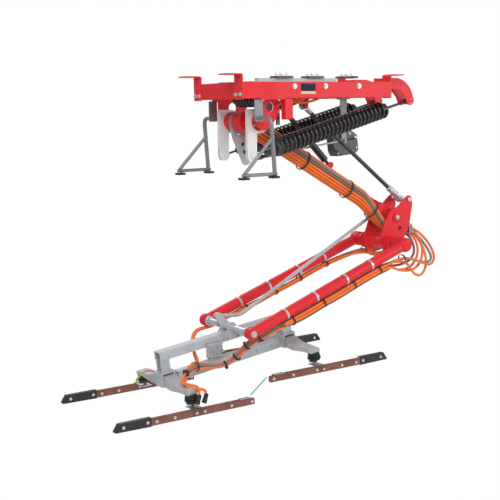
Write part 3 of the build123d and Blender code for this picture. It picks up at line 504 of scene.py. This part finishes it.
# ---- Drive ---------------------------------------------------------------------------------------
# A cast gear motor, painted black, swings on a trunnion under the frame. It pushes a steel screw
# rod, which wears a brown sleeve, a nut and a fork where it is pinned to the shaft's plate.
coat(black_steel, "black_steel", "gear_motor")
coat(bright_steel, "bright_steel", "drive_rod")
screw_end, trunnion = Vector((-338, 91, -541)), Vector((480, 91, -440))
sleeve_brown = finish("sleeve_brown", (0.10, 0.075, 0.07), 0.45, metallic=0.3)
for name, paint, slot, rings in (
    ("screw_fork", grey_steel, "grey_steel", [(36, 6.6), (36, 11), (94, 11), (94, 6.6)]),
    ("screw_nut", black_steel, "black_steel", [(94, 9.1), (94, 17), (134, 17), (134, 9.1)]),
    ("screw_sleeve", sleeve_brown, "black_steel", [(134, 6.6), (134, 12), (430, 12), (430, 6.6)]),
):
    placed(name, lathe(name, screw_end, trunnion, rings), "screw", paint)
slope = (trunnion - screw_end).normalized()
square = Vector((-slope.z, 0, slope.x))


def on_box(u, v, y):
    """Point given along the screw and square to it from the trunnion."""
    return Vector((trunnion.x, y, trunnion.z)) + slope * u + square * v


rim_spots = ((-60, 36), (0, 40), (66, 40), (112, 8), (112, -66), (78, -90), (-54, -84))
bolts(
    "box_bolts", "gearbox", bright_steel,
    [(on_box(u, v, y), (0, way, 0)) for u, v in rim_spots for y, way in ((88, -1), (162, 1))],
    radius=5, height=4, washer=8,
)

# ---- Damper and coupling rod ---------------------------------------------------------------------
# A black gas damper steadies the arm. The coupling rod above it, a black tube with bare steel
# fork ends screwed in and locked by a nut, turns the knee.
coat(black_steel, "black_steel", "damper_rod", "damper_cylinder")


def coat_where(material, slot, node, test):
    """A second finish on the faces of a node whose centre, in millimetres, passes the test."""
    mesh = nodes[node].data
    mesh.materials.append(material)
    for face in mesh.polygons:
        if test(face.center * 1000):
            face.material_index = len(mesh.materials) - 1


coat(black_steel, "black_steel", "coupling_rod")
coat_where(bright_steel, "bright_steel", "coupling_rod", lambda spot: spot.x > 824 or spot.x < 132)
coupling_end, coupling_top = (932, 0, -868), (75, 0, -200)
nut_rings = [(134, 14), (134, 21), (152, 21), (152, 14)]
nut = lathe("coupling_nut", coupling_end, coupling_top, nut_rings, sides=6)
placed("coupling_nut", nut, "coupling", bright_steel)


# ---- Arm cables ----------------------------------------------------------------------------------
# Seven rubber power and signal cables run down the near side of the arm under black ties, and on
# between the cheeks below the knee. More of them lie in the frame, beside a black ribbed hose.
def strands(name, routes, thickness, finishes):
    """Round cables through or near their points; each route names which finish it has."""
    curve = bpy.data.curves.new(name, "CURVE")
    curve.dimensions = "3D"
    curve.bevel_depth = thickness / 2000
    curve.bevel_resolution = 3
    curve.resolution_u = 10
    curve.use_fill_caps = True
    for material in finishes:
        curve.materials.append(material)
    for points, which in routes:
        spline = curve.splines.new("NURBS")
        spline.points.add(len(points) - 1)
        for held, spot in zip(spline.points, points):
            held.co = (*metres(spot), 1)
        spline.order_u = min(4, len(points))
        spline.use_endpoint_u = True
        spline.material_index = which
    unit = bpy.data.objects.new(name, curve)
    bpy.context.scene.collection.objects.link(unit)
    graph = bpy.context.evaluated_depsgraph_get()
    mesh = bpy.data.meshes.new_from_object(unit.evaluated_get(graph))
    mesh.name = name
    bpy.data.objects.remove(unit)
    return mesh


arm_way, arm_up = Vector((0.86802, 0, -0.49652)), Vector((0.49652, 0, 0.86802))


def on_arm(distance, across=0.0, lifted=0.0):
    """A distance along the arm from the shaft, across the machine, and up square to the arm."""
    return Vector((shaft_x, across, shaft_z)) + arm_way * distance + arm_up * lifted


cable = 17.6
orange = finish("orange_cable", (0.92, 0.20, 0.04), 0.45, relief=0.01, shine=0.3)
brown = finish("brown_cable", (0.24, 0.12, 0.07), 0.5, relief=0.01)
grey = finish("grey_cable", (0.2, 0.21, 0.22), 0.5, relief=0.01)
jackets = (orange, brown, grey)
arm_routes = []
for turn, gate, which in (
    (-40, (-66, -1060), 0), (-22, (-66, -1079), 2), (-4, (-47, -1079), 1), (14, (-28, -1079), 0),
    (32, (-9, -1079), 0), (50, (10, -1079), 0), (68, (29, -1079), 0),
):
    over, out = -math.sin(math.radians(turn)), -math.cos(math.radians(turn))
    route = [on_arm(reach, out * (60.8 + off), over * (60.8 + off)) for reach, off in (
        (70, 9), (130, 8), (240, 3), (360, 0), (500, 0), (700, 0), (900, 0), (1050, 0), (1120, 0))]
    y, z = gate
    arm_routes.append((route + [(715, y, z + 50), (790, y, z), (860, y, z - 4), (908, y, z)], which))
arm_run = placed("arm_cable_run", strands("arm_cable_run", arm_routes, cable, jackets), None)
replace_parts(arm_run, "arm_cables")
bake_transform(arm_run)
frame_routes = [
    ([(-238, y, -112), (-215, y, -150), (-150, y, z), (-60, y, z), (10, y, -152), (60, y, -112)], which)
    for y, z, which in (
        (-96, -160, 0), (-78, -163, 0), (-60, -165, 2), (-42, -163, 0), (-87, -178, 1), (-69, -181, 0),
        (-51, -181, 0), (-105, -176, 0), (-78, -197, 0), (-60, -198, 0),
    )
] + [([(-60, -114, -176), (20, -114, -184), (120, -112, -160), (195, -110, -112)], 0)]
placed("frame_cable_run", strands("frame_cable_run", frame_routes, 16, jackets), "frame")
hose_x, hose_z = shaft_x - 30, -163
hose_settings = {"Turns": 7.0, "Radius": 0.032, "Wire": 0.0083, "Length": 0.212, "Finish": coil_wire}
hose = grown("ribbed_hose", coil_tree, bpy.data.meshes.new("hose_seed"), hose_settings)
across_machine = Vector((0, 1, 0)).to_track_quat("Z", "Y").to_matrix().to_4x4()
hose.transform(Matrix.Translation(metres((hose_x, -186, hose_z))) @ across_machine)
placed("ribbed_hose", hose, "frame")
liner = lathe("hose_liner", (hose_x, -194, hose_z), (hose_x, 32, hose_z), [(0, 27), (226, 27)])
placed("hose_liner", liner, "frame", black_rubber)

tie_tree, given, result = socketed("ties", (("Finish", "Material"),))
loop = tie_tree.nodes.new("GeometryNodeCurvePrimitiveCircle")
loop.inputs["Resolution"].default_value = 40
strap = tie_tree.nodes.new("GeometryNodeCurvePrimitiveCircle")
strap.inputs["Resolution"].default_value = 8
strap.inputs["Radius"].default_value = 0.05
hoop = tie_tree.nodes.new("GeometryNodeCurveToMesh")
turn = tie_tree.nodes.new("GeometryNodeInputNamedAttribute")
size = tie_tree.nodes.new("GeometryNodeInputNamedAttribute")
for held, label in ((turn, "turn"), (size, "size")):
    held.data_type = "FLOAT_VECTOR"
    held.inputs["Name"].default_value = label
rotation = tie_tree.nodes.new("FunctionNodeEulerToRotation")
spread = tie_tree.nodes.new("GeometryNodeInstanceOnPoints")
solid = tie_tree.nodes.new("GeometryNodeRealizeInstances")
dressed = tie_tree.nodes.new("GeometryNodeSetMaterial")
for start, end in (
    (loop.outputs["Curve"], hoop.inputs["Curve"]),
    (strap.outputs["Curve"], hoop.inputs["Profile Curve"]),
    (given.outputs["Geometry"], spread.inputs["Points"]),
    (hoop.outputs[0], spread.inputs["Instance"]),
    (turn.outputs["Attribute"], rotation.inputs[0]),
    (rotation.outputs[0], spread.inputs["Rotation"]),
    (size.outputs["Attribute"], spread.inputs["Scale"]),
    (spread.outputs[0], solid.inputs[0]),
    (solid.outputs[0], dressed.inputs["Geometry"]),
    (given.outputs["Finish"], dressed.inputs["Material"]),
    (dressed.outputs[0], result.inputs[0]),
):
    tie_tree.links.new(start, end)


def ties(name, body, material, loops, width=8.0):
    """Straps round bundles: each loop is its centre, the bundle's direction and its two half sizes."""
    spots = [(centre, way) for centre, way, _, _ in loops]
    sizes = [(half_x, half_y, width * 10) for _, _, half_x, half_y in loops]
    mesh = grown(name, tie_tree, marked(name, spots, sizes), {"Finish": material})
    mesh.shade_smooth()
    return placed(name, mesh, body)


ties(
    "arm_ties", "main_arm", black_rubber,
    [(on_arm(reach, -12, -5), arm_way, 64.5, 64.5) for reach in (300, 530, 955)]
    + [(on_arm(1222, -14, -26), arm_way, 60, 66)],
    width=13,
)
ties(
    "frame_ties", "frame", black_rubber,
    [((x, -69, -176), (1, 0, 0), 40, 24) for x in (-84, 18)], width=10,
)

# ---- Knee ----------------------------------------------------------------------------------------
# Two painted steel cheek plates are welded to the forearm's cross tube and turn on a steel pin in
# the arm's hub; a pin at their top takes the coupling rod.
coat(red_paint, "red_paint", "cheek_plates", "knee_cross_tube")
coat(bright_steel, "bright_steel", "knee_pin", "coupling_pin")
coat_where(red_paint, "red_paint", "knee_pin", lambda spot: abs(spot.y) > 92.5)
knee_x, knee_z = 815, -985
bolts(
    "knee_bolts", "forearm", bright_steel,
    [((coupling_end[0], side * 100, coupling_end[2]), (0, side, 0)) for side in (-1, 1)]
    + [((knee_x, side * 104, knee_z), (0, side, 0)) for side in (-1, 1)],
    radius=11, height=6, washer=15,
)
block("loop_clamp", "forearm", black_rubber, (944, -80, -1108), (984, 42, -1054), 4)
for x in (950, 970):
    low, high = (x, -83, -1111), (x + 9, 45, -1051)
    block(f"loop_clamp_band_{x}", "forearm", bright_steel, low, high, 2)
bolts(
    "loop_clamp_bolts", "forearm", bright_steel,
    [((x + 4.5, y, -1051), up) for x in (950, 970) for y in (-60, -20, 20)], radius=6, height=5, washer=8,
)

# ---- Forearm -------------------------------------------------------------------------------------
# Two painted steel tubes run from the cross tube to the head's shaft. Their bright bands carry the
# rubber cables, which loop widely behind the knee and then lie under each tube.
coat(red_paint, "red_paint", "forearm_tube_near", "forearm_tube_far")
coat(bright_steel, "bright_steel", "tube_bands")


tube_way = {side: Vector((-1297, side * 18, -440)).normalized() for side in (-1, 1)}


def under_tube(side, distance, across=0.0, drop=0.0):
    """A distance along a forearm tube from the knee, across it, and down square to it."""
    way = tube_way[side]
    beside = Vector((way.y, -way.x, 0)).normalized()
    below = way.cross(beside)
    if below.z > 0:
        below = -below
    return Vector((742, side * 252, -1160)) + way * distance + beside * across + below * drop


# Each loop: the tube's side, its place across and below the tube, its jacket, where it leaves
# the clamp, and the points that it bends through.
knee_loops = (
    (-1, -18, 0, 0, (908, -66, -1060), (
        (960, -68, -1070), (1008, -70, -1087), (1062, -98, -1135), (1102, -138, -1206), (1112, -180, -1296),
        (1030, -214, -1338), (957, -226, -1316), (847, -236, -1272), (738, -246, -1244))),
    (-1, 0, 0, 2, (908, -66, -1079), (
        (955, -68, -1092), (1002, -72, -1112), (1046, -100, -1160), (1070, -140, -1226), (1084, -176, -1290),
        (1017, -205, -1320), (916, -226, -1296), (800, -240, -1262), (700, -250, -1252))),
    (-1, 18, 0, 0, (908, -47, -1079), (
        (958, -56, -1094), (1012, -72, -1124), (1050, -106, -1200), (1048, -148, -1276), (1018, -182, -1350),
        (948, -212, -1402), (866, -228, -1392), (806, -242, -1326), (744, -251, -1266))),
    (-1, -9, 16, 0, (908, -28, -1079), (
        (950, -38, -1100), (994, -60, -1128), (1014, -88, -1180), (1002, -118, -1240), (950, -150, -1296),
        (862, -190, -1334), (744, -230, -1342), (640, -262, -1316))),
    (-1, -26, 16, 0, (908, -47, -1062), (
        (958, -50, -1076), (1010, -70, -1104), (1034, -100, -1160), (1030, -136, -1232), (984, -168, -1304),
        (896, -200, -1352), (780, -226, -1352), (660, -252, -1322))),
    (-1, -17, 32, 1, (908, -9, -1079), (
        (945, -20, -1106), (980, -46, -1136), (990, -76, -1184), (976, -108, -1240), (918, -140, -1282),
        (830, -180, -1302), (700, -216, -1306), (600, -236, -1294))),
    (1, -9, 16, 0, (908, 10, -1079), (
        (940, 30, -1092), (985, 76, -1140), (1000, 126, -1200), (985, 180, -1262), (907, 225, -1290),
        (858, 240, -1264), (799, 250, -1249))),
    (1, 0, 0, 2, (908, 29, -1079), (
        (938, 50, -1096), (970, 100, -1140), (975, 150, -1190), (960, 200, -1240), (895, 245, -1272),
        (840, 262, -1252), (790, 268, -1246))),
    (1, -18, 0, 0, (908, -9, -1062), (
        (945, 10, -1074), (1000, 60, -1110), (1030, 110, -1180), (1010, 170, -1270), (915, 215, -1308),
        (850, 228, -1284), (790, 234, -1262))),
)
sags = (
    (180, 12), (262, 4), (330, 0), (500, 0), (560, 3), (680, 6), (800, 0), (940, 6), (1060, 0), (1130, 0),
)
closing = 0.35  # how much of its depth the bundle keeps where it leaves the tube
loop_routes = []
for side, across, deeper, which, start, corners in knee_loops:
    tail = [
        under_tube(side, reach, across, 50 + deeper * (1 if reach < 1100 else closing) + sag)
        for reach, sag in sags
    ]
    loop_routes.append(([start, *corners, *tail], which))
loops = strands("loop_cable_run", loop_routes, cable, jackets)
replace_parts(placed("loop_cable_run", loops, "forearm"), "forearm_cables")
ties(
    "forearm_ties", "forearm", black_rubber,
    [
        (under_tube(side, reach, -4, drop), tube_way[side], 34, half_height)
        for side, drop, half_height, spots in (
            (-1, 62, 31, (280, 520, 794, 1059)), (1, 57, 23, (332, 577, 800, 1059)),
        )
        for reach in spots
    ]
    + [((724, -249, -1253), (-0.96, 0, -0.28), 34, 28), ((806, 249, -1251), (-1, 0, -0.1), 34, 24)],
    width=13,
)

# ---- Guide rod -----------------------------------------------------------------------------------
# A bent steel rod of plain grey, pinned to the knee hub and to the far yoke, keeps the head level
# as the forearm swings.
coat(grey_steel, "grey_steel", "guide_rod")

# ---- Head ----------------------------------------------------------------------------------------
# A galvanised double steel beam turns on the shaft at the forearm's end. Bolted posts and blocks
# carry a rocker arm at each end.
coat(bright_steel, "bright_steel", "head_shaft")
head_grey = finish("head_grey", (0.49, 0.53, 0.56), 0.42, metallic=0.1)
coat(
    head_grey, "grey_steel", "head_upper_beam", "head_lower_beam", "head_yoke_near", "head_yoke_far",
    "head_posts", "rocker_blocks",
)
tilt = math.radians(7)
apex_x, apex_z = -555, -1600


def in_head(u, y, v):
    """A point given along the head's beam from the shaft, across it, and square to it."""
    return Vector((
        apex_x + u * math.cos(tilt) - v * math.sin(tilt), y, apex_z + u * math.sin(tilt) + v * math.cos(tilt),
    ))


head_up = in_head(0, 0, 1) - in_head(0, 0, 0)
block_at = {"left": -500, "right": 435}
bolts(
    "beam_bolts", "head", bright_steel,
    [
        (in_head(u, side * half, v), (0, side, 0))
        for half, v, spots in (
            (35.5, -52, (-470, -330, -180, 150, 290, 420)), (30.5, -209, (-360, -250, 180, 300)),
        )
        for u in spots for side in (-1, 1)
    ],
    radius=6, height=5, washer=10,
)
bolts(
    "block_bolts", "head", bright_steel,
    [
        (in_head(u + du, y, -153), head_up)
        for u in block_at.values() for du in (-32, 32) for y in (-30, 30)
    ],
    radius=6, height=5, washer=10,
)
block("terminal_plate", "head", grey_steel, (-752, -56, -1768), (-638, -44, -1678), 1)
bolts(
    "terminal_studs", "head", bright_steel,
    [((-742 + 19 * column, -56, -1686 - 18 * row), near) for column in range(6) for row in range(5)],
    radius=4.5, height=16, washer=7,
)
bolts(
    "yoke_studs", "head", bright_steel,
    [(in_head(u, -47.5, v), near) for u in (-44, 44) for v in (-50, -66)]
    + [(in_head(u, -61, v), near) for u, v in ((-120, -100), (-96, -128), (-72, -150))],
    radius=6, height=9, washer=9,
)

# ---- Head cables ---------------------------------------------------------------------------------
# Rubber cables leave the forearm tubes, tied in a bundle, and meet in a clip at the left block.
# Two tails curl down from there and are plugged into black boots on the near left strip.
head_routes = [
    (
        [(-300, -262 + dy, -1578 + dz), (-372, -252 + dy, -1600 + dz), (-472, -222 + dy, -1640 + dz),
         (-535, -180 + dy, -1696 + dz), (-578, -130 + dy, -1770 + dz), (-640, -92 + dy / 2, -1822 + dz / 2),
         (-720, -84 + dy / 2, -1822 + dz / 2), (-800, -86 + dy, -1800 + dz), (-868, -102 + dy, -1796 + dz),
         (-926, -132 + dy, -1802 + dz), (-966, -160 + dy, -1806 + dz)], which,
    )
    for dy, dz, which in ((10, 12, 0), (-10, 8, 2), (12, -9, 0), (-8, -13, 0))
] + [
    ([(-316, 262 + off, -1574), (-430, 264 + off, -1618), (-540, 262 + off, -1654), (-625, 258 + off, -1648),
      (-702, 200 + off, -1664), (-755, 120 + off, -1716), (-783, 60, -1745 + off), (-802, 0, -1770 + off),
      (-812, -56, -1790 + off), (-868, -86, -1790 + off), (-926, -118, -1796 + off)], 0)
    for off in (-10, 10)
]
head_strands = strands("head_cable_run", head_routes, cable, jackets)
head_run = placed("head_cable_run", head_strands, None)
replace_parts(head_run, "head_cables")
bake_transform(head_run)
tail_routes = [
    ([(-966, -160, -1806), (-1010, -190, -1812), (-1056, -236, -1830), (-1040, -276, -1842),
      (-1000, -316, -1846), (-984, -340, -1860), (-996, -356, -1888), (-1003, -358, -1912)], 0),
    ([(-956, -150, -1814), (-1000, -196, -1846), (-1034, -240, -1872), (-1024, -290, -1884),
      (-990, -330, -1866), (-958, -350, -1866), (-948, -357, -1888), (-955, -358, -1912)], 0),
]
tails = placed("pigtails_near", strands("pigtails_near", tail_routes, cable, jackets), None)
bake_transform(tails)
boot_rings = [(0, 9), (2, 13), (34, 14), (58, 16), (60, 13)]
boots = [
    lathe(f"boot_{x}", (x + 8, -358, -1893), (x - 12, -358, -1950), boot_rings) for x in (-1003, -955)
]
for boot in boots:
    boot.materials.append(black_rubber)
placed("boots_near", joined("boots_near", boots), "strip_left_near")
block("clip_near", "head", black_rubber, (-984, -180, -1824), (-958, -140, -1788), 4)
ties(
    "head_ties", "head", black_rubber,
    [
        ((-640, -92, -1822), (-0.9, 0.2, -0.35), 27, 27), ((-578, -130, -1770), (-0.45, 0.5, -0.74), 29, 29),
        ((-535, -180, -1696), (-0.6, 0.5, -0.62), 29, 29), ((-472, -222, -1640), (-0.78, 0.35, -0.5), 27, 27),
        ((-868, -98, -1796), (-0.93, -0.33, 0), 34, 31),
    ],
    width=13,
)

# ---- Rocker arms and insulators ------------------------------------------------------------------
# A forged grey steel arm rocks on a pin in each block. Ribbed black resin insulators, screwed
# under its ends, keep the strips off the frame.
coat(grey_steel, "grey_steel", "rocker_arm_left", "rocker_arm_right")
resin = finish("black_resin", (0.02, 0.02, 0.022), 0.38)
coat(resin, "insulator", "insulators_left", "insulators_right")

# ---- Contact strips ------------------------------------------------------------------------------
# Four copper and carbon strips on aluminium carriers, each with bolts along it and a black horn at
# its outer end.
strip_copper = finish("copper_carbon", (0.24, 0.095, 0.07), 0.55, metallic=0.1, mottle=0.2, shine=0.3)
aluminium = finish("aluminium", (0.6, 0.61, 0.62), 0.38, metallic=0.9)
strip_y, half_thickness = 363, 14
for where, way in (("left", -1), ("right", 1)):
    pivot = in_head(block_at[where], 0, -302)
    for side, lane in ((-1, "near"), (1, "far")):
        holder, strip = f"strip_holder_{where}_{lane}", f"contact_strip_{where}_{lane}"
        coat(aluminium, "aluminium", holder)
        coat_where(strip_copper, "carbon", holder, lambda spot: spot.z < pivot.z - 11 and abs(spot.y) > 350)
        coat_where(resin, "carbon", holder, lambda spot: (spot.x - pivot.x) * way > 321)
        shoe_from, shoe_to = sorted((pivot.x - way * 372, pivot.x - way * 296))
        block(
            f"strip_shoe_{where}_{lane}", f"strip_{where}_{lane}", aluminium,
            (shoe_from, side * strip_y - half_thickness, pivot.z - 12),
            (shoe_to, side * strip_y + half_thickness, pivot.z - 9),
        )
        coat(strip_copper, "carbon", strip)
        row = [(pivot.x + way * step, pivot.z - 34) for step in (-380, -230, -40, 15, 165, 285)]
        row += [(pivot.x + way * step, pivot.z - 30) for step in (345, 500)]
        bolts(
            f"studs_{where}_{lane}", f"strip_{where}_{lane}", bright_steel,
            [((x, side * strip_y + face * 15, z), (0, face, 0)) for x, z in row for face in (-1, 1)],
            radius=9, height=3, washer=10, sides=16,
        )

# ---- Transport rod and earth lead ----------------------------------------------------------------
# A thin light-blue insulating rod stands between the inner ends of the two near strips; a green
# and yellow rubber earth lead with a red end hangs from the left block towards the far strip.
rod_blue = finish("rod_blue", (0.16, 0.46, 0.58), 0.5)
rod = lathe("transport_rod", (-628, -354, -1962), (-506, -354, -1870), [(0, 4.5), (152, 4.5)], sides=12)
placed("transport_rod", rod, "strip_left_near", rod_blue)
lead_green = finish("lead_green", (0.16, 0.52, 0.06), 0.5)
lead_yellow = finish("lead_yellow", (0.85, 0.72, 0.05), 0.5)
lead_red = finish("lead_red", (0.70, 0.05, 0.03), 0.5)
lead_routes = [
    ([(-1118 + dx, 84, -1820), (-1142 + dx, 104, -1838), (-1152 + dx, 140, -1872), (-1132 + dx, 200, -1912),
      (-1090 + dx, 270, -1944), (-1060 + dx, 326, -1964)], which)
    for dx, which in ((0, 0), (7, 1))
] + [([(-1076, 50, -1822), (-1096, 64, -1818), (-1114, 82, -1819)], 2)]
lead = strands("earth_lead", lead_routes, 8, (lead_green, lead_yellow, lead_red))
lead_run = placed("earth_lead", lead, None)
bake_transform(lead_run)
